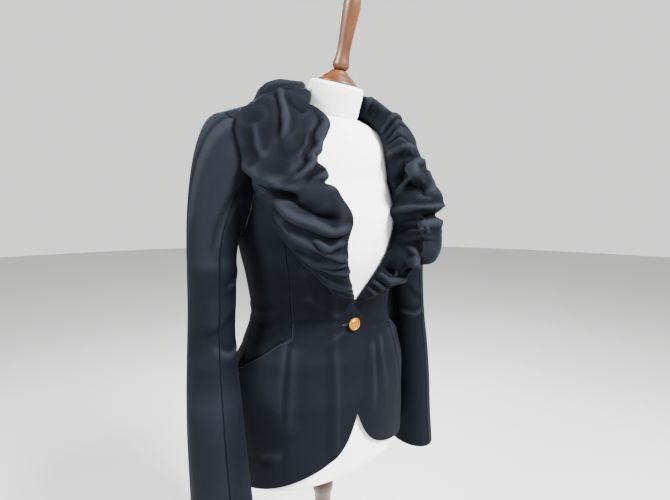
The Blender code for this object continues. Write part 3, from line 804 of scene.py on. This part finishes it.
class Finish:
    """A material under construction."""

    def __init__(self, name, **fixed):
        self.material = bpy.data.materials.new(name)
        self.material.use_nodes = True
        self.tree = self.material.node_tree
        self.shader = self.tree.nodes["Principled BSDF"]
        for socket, value in fixed.items():
            self.shader.inputs[socket.replace("_", " ").title().replace("Ior", "IOR")
                               ].default_value = value

    def node(self, kind, settings, *given, out=0, **named):
        node = self.tree.nodes.new(kind)
        for key, value in settings.items():
            if key == "stops":
                ramp_stops = node.color_ramp.elements
                for stop, (place, colour) in zip((ramp_stops[0], ramp_stops[1]), value):
                    stop.position, stop.color = place, (*colour, 1)
                for place, colour in value[2:]:
                    ramp_stops.new(place).color = (*colour, 1)
            else:
                setattr(node, key, value)
        pairs = list(zip(node.inputs, given))
        pairs += [(node.inputs[key.replace("_", " ")], value) for key, value in named.items()]
        for socket, value in pairs:
            self.join(socket, value)
        return Wire(self, node.outputs[out])

    def join(self, socket, value):
        if isinstance(value, Wire):
            self.tree.links.new(value.socket, socket)
        else:
            if isinstance(value, tuple) and socket.type == "RGBA" and len(value) == 3:
                value = (*value, 1)
            socket.default_value = value

    def blend(self, factor, one, two):
        node = self.tree.nodes.new("ShaderNodeMix")
        node.data_type = "RGBA"
        self.join(node.inputs[0], factor)
        self.join(node.inputs[6], one)
        self.join(node.inputs[7], two)
        return Wire(self, node.outputs[2])

    def place(self, scale=(1, 1, 1)):
        """The piece's own coordinates, stretched by scale."""
        where = self.node("ShaderNodeTexCoord", {}, out="Object")
        return self.node("ShaderNodeMapping", {}, where, Scale=scale)

    def waves(self, where, way, scale, distortion, detail=1., kind="bands"):
        settings = {"wave_type": kind.upper(), kind + "_direction": way}
        return self.node("ShaderNodeTexWave", settings, Vector=where, Scale=scale,
                         Distortion=distortion, Detail=detail)

    def noise(self, where, scale, detail=3., rough=.5):
        return self.node("ShaderNodeTexNoise", {}, Vector=where, Scale=scale, Detail=detail,
                         Roughness=rough)

    def finish(self, colour, roughness=None, height=None, distance=.001, strength=1.):
        self.join(self.shader.inputs["Base Color"], colour)
        if roughness is not None:
            self.join(self.shader.inputs["Roughness"], roughness)
        if height is not None:
            bump = self.node("ShaderNodeBump", {}, Strength=strength, Distance=distance,
                             Height=height)
            self.join(self.shader.inputs["Normal"], bump)
        return self.material


def wool_twill():
    """Dark blue-grey worsted: a fine twill and a soft nap, with painted shade in fold hollows and
    along edges and painted highlight on ridges.
    """
    m = Finish("worsted_twill", sheen_weight=.02, sheen_roughness=.30, specular_ior_level=.03)
    m.shader.inputs["Sheen Tint"].default_value = (.62, .72, .86, 1)
    threads = m.node("ShaderNodeUVMap", {"uv_map": "thread"})
    twill = m.waves(threads, "DIAGONAL", 900., .4)
    yarn = m.waves(threads, "X", 700., 1.2)
    where = m.place()
    cloud = m.noise(where, 16., 4., .6)
    nap = m.noise(where, 420., 3., .6)
    # painted shade and highlight: the colour ramp runs from near black in fold hollows and at
    # edges to light on ridges, varied a little at random
    painted_light_mask = m.node("ShaderNodeAttribute", {"attribute_name": "raised"}, out=2)
    painted_light_mask = m.node("ShaderNodeMath", {"operation": "MULTIPLY_ADD", "use_clamp": True}, painted_light_mask,
                  .50, .37) * (.75 + .25 * cloud)
    ground = m.node("ShaderNodeValToRGB", {"stops": (
        (0., (.0003, .0004, .0011)), (1., (.0210, .0245, .0315)), (.36, (.0015, .0020, .0037)),
        (.62, (.0052, .0065, .0098)))}, painted_light_mask)
    raised = m.blend(twill * .35 + nap * .25, ground, (.0062, .0076, .0107))
    rough = .62 + .10 * cloud - .05 * twill
    return m.finish(raised, rough, twill * .5 + yarn * .22 + nap * .35, .00022, .55)


def jersey_knit():
    """White cotton jersey with its small ribs of stitches."""
    m = Finish("cotton_jersey", sheen_weight=.25, sheen_roughness=.5, specular_ior_level=.25)
    where = m.place()
    ribs = m.waves(where, "X", 230., .6)
    courses = m.waves(where, "Z", 300., .6)
    cloud = m.noise(where, 9., 4., .55)
    ground = m.blend(cloud, (.78, .78, .775), (.86, .86, .85))
    colour = m.blend(ribs * .10 + courses * .06, ground, (.66, .665, .67))
    return m.finish(colour, .78 + .12 * cloud, ribs * .5 + courses * .35, .00025, .45)


def turned_wood(name, dark, middle, light, coat):
    """Long grain, fine pores and a thin varnish that has worn unevenly."""
    m = Finish(name, coat_weight=coat, coat_roughness=.18, specular_ior_level=.45)
    bands = m.waves(m.place((1, 1, .06)), "Y", 22., 9., 3., "rings")
    pores = m.noise(m.place((1, 1, .05)), 900., 2., .5)
    cloud = m.noise(m.place(), 26., 3., .6)
    ground = m.blend(bands * .75 + cloud * .25, dark, middle)
    colour = m.blend(pores * .45, ground, light)
    return m.finish(colour, .30 + .22 * cloud, bands * .3 + pores * .5, .0002, .35)


def gold_plate():
    """Gold plate with a noisy tone and roughness and fine scratches."""
    m = Finish("gold_plate", metallic=1.)
    where = m.place()
    wear = m.noise(where, 260., 4., .6)
    scratch = m.noise(m.place((1, 1, .15)), 1400., 2., .5)
    colour = m.blend(wear, (.27, .095, .006), (.52, .235, .022))
    return m.finish(colour, .30 + .22 * wear + .08 * scratch, wear * .4 + scratch * .4,
                    .00008, .4)


def silk_thread():
    """Twisted buttonhole thread."""
    m = Finish("buttonhole_twist", sheen_weight=.2, specular_ior_level=.5)
    where = m.place()
    twist = m.waves(where, "X", 900., .5)
    cloud = m.noise(where, 300., 2., .5)
    colour = m.blend(twist * .6 + cloud * .3, (.008, .010, .016), (.030, .035, .046))
    return m.finish(colour, .38 + .2 * cloud, twist, .0002, .6)


def floor_paint():
    m = Finish("pale_floor", roughness=.85)
    cloud = m.noise(m.place(), 3., 3., .5)
    return m.finish(m.blend(cloud, (.80, .80, .79), (.84, .84, .83)))


def make_studio():
    bpy.ops.object.select_all(action="DESELECT")
    bpy.ops.mesh.primitive_circle_add(vertices=96, radius=14., fill_type="NGON")
    floor = bpy.context.object
    floor.name = floor.data.name = "studio_floor"
    floor.data.materials.append(floor_paint())
    world = bpy.data.worlds.new("studio")
    world.use_nodes = True
    nodes, links = world.node_tree.nodes, world.node_tree.links
    sky = nodes["Background"]
    sky.inputs[1].default_value = 1.3
    where, split = nodes.new("ShaderNodeTexCoord"), nodes.new("ShaderNodeSeparateXYZ")
    shade = nodes.new("ShaderNodeValToRGB")
    low, high = shade.color_ramp.elements
    low.position, low.color = .50, (1., 1., .985, 1)
    high.position, high.color = .92, (.10, .10, .11, 1)
    links.new(where.outputs["Generated"], split.inputs[0])
    links.new(split.outputs["Z"], shade.inputs[0])
    links.new(shade.outputs[0], sky.inputs[0])
    bpy.context.scene.world = world
    for name, place, size, power, aim in (
            ("key", (.7, -2.0, 3.0), .7, 520, (0, 0, 1.15)),
            ("side", (-2.2, -.3, 2.3), .8, 150, (0, 0, 1.1)),
            ("back", (.6, 2.0, 2.4), 1.2, 60, (0, 0, 1.1))):
        light = bpy.data.lights.new(name, "AREA")
        light.size, light.energy = size, power
        lamp = bpy.data.objects.new(name, light)
        lamp.location = place
        lamp.rotation_euler = (Vector(aim) - Vector(place)).to_track_quat("-Z", "Y").to_euler()
        bpy.context.scene.collection.objects.link(lamp)
    lens = bpy.data.cameras.new("camera")
    lens.lens, lens.sensor_width = 17.85, 36
    camera = bpy.data.objects.new("camera", lens)
    camera.location = (-.319, -.539, 1.221)
    camera.rotation_euler = (math.radians(84.4), 0, math.radians(-32.9))
    bpy.context.scene.collection.objects.link(camera)
    bpy.context.scene.camera = camera


# folds in the body: which side (0 both), line in (t, h), lift, half width, valley, roll, ends
FRONT_FOLDS = (
    (-1, ((53, .0), (41, .001), (27, .0), (10, -.004)), -.0013, .0045, 0, 0, .12),
    (-1, ((47, .047), (32, .026), (11, .0)), .0012, .007),
    (-1, ((30, -.040), (18, -.030), (7, -.019)), .0012, .006),
    (0, ((52, -.034), (51, -.078), (51, -.13), (51.5, -.18)), .0014, .011),
    (0, ((44, .10), (41, .06), (38, .03)), .0012, .010),
    (-1, ((69, -.221), (63, -.205), (54, -.209)), .0014, .009),
    (-1, ((78, -.228), (70, -.216), (60, -.222)), -.0010, .007),
    (1, ((24, -.04), (20, -.107), (18, -.187)), .0018, .009, .0006),
    (1, ((54, -.024), (37, -.023), (16, -.020)), -.0012, .005),
    (1, ((36, -.035), (33, -.10), (34, -.19)), .0015, .009),
    (0, ((66, .13), (78, .06), (88, .0)), -.0010, .012),
    (0, ((62, .02), (76, .012), (92, .018)), .0011, .006, .0008),
    (0, ((60, -.008), (74, -.016), (90, -.012)), .0009, .006, .0006),
    (0, ((82, -.10), (80, -.16), (83, -.25)), .0012, .012),
)
BACK_FOLDS = (
    (0, ((92, .018), (112, .012), (132, .020)), .0013, .006, .001),
    (0, ((96, -.012), (118, -.006), (140, -.012)), .0011, .006, .0008),
    (0, ((105, .13), (124, .17), (140, .24)), .0012, .010),
    (0, ((178, .02), (160, .012), (145, .016)), .0010, .006, .0006),
    (0, ((150, -.06), (146, -.14), (150, -.27)), .0018, .014),
    (0, ((118, -.10), (114, -.17), (118, -.27)), .0015, .013),
)
# folds in the sleeves: which side, line in (turns of pi, h), lift, half width, valley
SLEEVE_FOLDS = (
    (0, ((.24, .25), (.14, .19), (.08, .11)), .0024, .008, .0014),
    (0, ((.60, .22), (.52, .17), (.47, .10)), .0016, .008, .001),
    (0, ((.80, .03), (.58, .005), (.30, -.012)), -.0020, .008),
    (0, ((.92, -.03), (.66, -.036), (.40, -.02)), .0020, .006, .0014),
    (0, ((.95, .095), (.76, .07), (.58, .062)), .0018, .006, .001),
    (0, ((.52, .10), (.46, .01), (.50, -.10), (.47, -.26)), .0012, .012),
    (0, ((.16, -.02), (.10, -.12), (.14, -.24)), .0012, .013),
    (0, ((1.30, .0), (1.45, -.012), (1.62, -.006)), .0016, .007, .001),
    (0, ((1.25, .16), (1.40, .10), (1.50, .03)), .0014, .010),
)
# shifts of the roll: centre s, v, reach in s, v, and the shift in x, y, z
COLLAR_NUDGES = {
    -1: (
    (.505, .24, .022, .17, .0125, .016, -.002),
     (.543, .24, .016, .28, .0134, .0087, 0),
     (.580, .26, .050, .28, .005, .0033, 0),
     (.28, .35, .060, .30, 0, 0, -.007),
     (.40, .95, .060, .25, .003, .002, 0),
     (.612, .26, .014, .17, .011, .012, -.002),
     (.375, .30, .032, .22, .014, .008, -.006),
     (.455, .34, .020, .20, -.004, -.003, -.003),
     (.70, .28, .045, .25, -.012, -.009, 0),
     (.25, .75, .050, .28, -.012, -.002, .015),
     (.21, 1.0, .090, .28, -.023, -.006, -.008),
     (.15, .45, .070, .40, -.008, 0, -.020)),
    1: (
    (.57, .10, .030, .22, .005, -.003, 0),
    (.728, .05, .022, .28, .013, -.008, 0),
    (.775, .10, .030, .25, .007, -.005, 0),
    (.655, .10, .026, .25, -.006, .004, 0),
    (.60, .35, .045, .25, .003, -.010, 0),
    (.80, .45, .040, .25, .003, -.010, 0),
    (.715, .55, .050, .25, -.008, .005, 0),
    (.40, .50, .040, .40, .004, -.003, .002)),
}
# folds in the roll: line in (s, v), lift, half width, valley, roll, ends
BACK_GATHERS = (
    (((.06, .95), (.075, .5), (.07, .1)), .005, .008, .004, .002),
    (((.13, .95), (.125, .5), (.14, .10)), .005, .007, .004, .002),
    (((.20, .95), (.215, .5), (.20, .10)), .005, .007, .004, .002))
COLLAR_FOLDS = {
    -1: (
    (((.28, 1.), (.36, 1.), (.43, .97), (.50, .91), (.56, .80), (.61, .68), (.63, .58)),
     .010, .009, .012, .009),
    (((.42, .38), (.49, .42), (.55, .48), (.585, .56), (.605, .64)), .009, .0055, .008, -.004),
    (((.52, .22), (.555, .36), (.59, .48), (.62, .60)), -.006, .005),
    (((.50, .77), (.518, .69), (.505, .59), (.46, .47)), -.009, .014, 0, 0, .36),
    (((.29, .62), (.36, .61), (.43, .63), (.48, .68)), .0065, .0055, .003, .001),
    (((.34, .58), (.39, .55), (.43, .50)), -.004, .006),
    (((.56, .84), (.595, .75), (.62, .68)), .005, .006),
    (((.40, .80), (.46, .80), (.53, .76)), .004, .008),
    (((.55, .80), (.62, .70), (.665, .62), (.695, .52), (.705, .38)), -.013, .0085),
    (((.63, .80), (.685, .69), (.713, .58), (.730, .45), (.712, .30)),
     .009, .0055, .004, .002),
    (((.66, .84), (.722, .75), (.757, .63), (.777, .50), (.80, .26)), .009, .006, .010, .003),
    (((.742, .62), (.768, .48), (.752, .32)), .005, .0038, .003),
    (((.79, .84), (.815, .60), (.81, .30)), .006, .0045, .006, .002),
    (((.825, .80), (.838, .5), (.835, .22)), .005, .0038, .005, .002),
    (((.86, .80), (.885, .55), (.90, .25)), .0045, .0045, .005, .001),
    (((.905, .80), (.915, .50), (.925, .2)), .003, .0032, .0035, .001),
    (((.945, .8), (.95, .5), (.955, .2)), .002, .003, .002),
    (((.30, 1.), (.29, .74), (.295, .48)), -.007, .009),
    *BACK_GATHERS,
    (((.255, .9), (.26, .5), (.25, .2)), .004, .006, .003),
    ),
    1: (
    (((.36, .60), (.385, .30), (.40, .02)), .004, .0045, .003),
    (((.40, .60), (.42, .30), (.44, .02)), -.005, .005),
    (((.45, .01), (.455, .30), (.47, .66)), -.006, .005),
    (((.485, .02), (.49, .30), (.475, .60)), .005, .006),
    (((.490, .40), (.515, .28), (.540, .17), (.572, .03)), -.016, .0100),
    (((.605, .0), (.580, .12), (.556, .26), (.530, .42), (.505, .68)), .0090, .0075, .004),
    (((.570, .13), (.605, .24), (.640, .31)), -.013, .0070),
    (((.53, .66), (.585, .48), (.63, .38), (.665, .35)), .006, .0045),
    (((.645, .01), (.66, .18), (.665, .33), (.658, .5), (.64, .74)), .007, .0045, 0, 0),
    (((.70, .01), (.70, .25), (.688, .45), (.66, .88)), -.013, .0080),
    (((.742, .02), (.726, .25), (.712, .42), (.690, .80)), .008, .0065, .003),
    (((.745, .22), (.78, .28), (.825, .30)), -.009, .017),
    (((.775, .12), (.806, .28), (.828, .42), (.84, .64)), .009, .0050, .004, .001),
    (((.69, .63), (.76, .65), (.84, .60)), .006, .006),
    (((.868, .01), (.862, .30), (.845, .80)), -.016, .0075),
    (((.89, .02), (.90, .35), (.895, .75)), .005, .004, .004, .001),
    (((.925, .05), (.93, .6)), .003, .0035, .003),
    (((.955, .05), (.96, .6)), .002, .003, .002),
    *BACK_GATHERS,
    (((.27, .95), (.265, .5), (.28, .08)), .005, .006, .004, .002),
    (((.32, .95), (.33, .5), (.32, .05)), -.006, .006),
    ),
}

WOOL, JERSEY, GOLD, THREAD = wool_twill(), jersey_knit(), gold_plate(), silk_thread()
BEECH = turned_wood("varnished_beech", (.042, .0105, .0012), (.115, .036, .0050),
                    (.022, .006, .001), .12)
STAINED = turned_wood("stained_beech", (.022, .0085, .0040), (.056, .0225, .0100),
                      (.010, .0040, .0020), .15)

for SIDE, TAG in ((-1, "right"), (1, "left")):
    make_front(SIDE, TAG)
    make_side_front(SIDE, TAG)
    make_back(SIDE, TAG)
    make_sleeve(SIDE, TAG)
    make_collar(SIDE, TAG)
make_form()
make_stand()
make_button()
make_buttonhole()
make_studio()
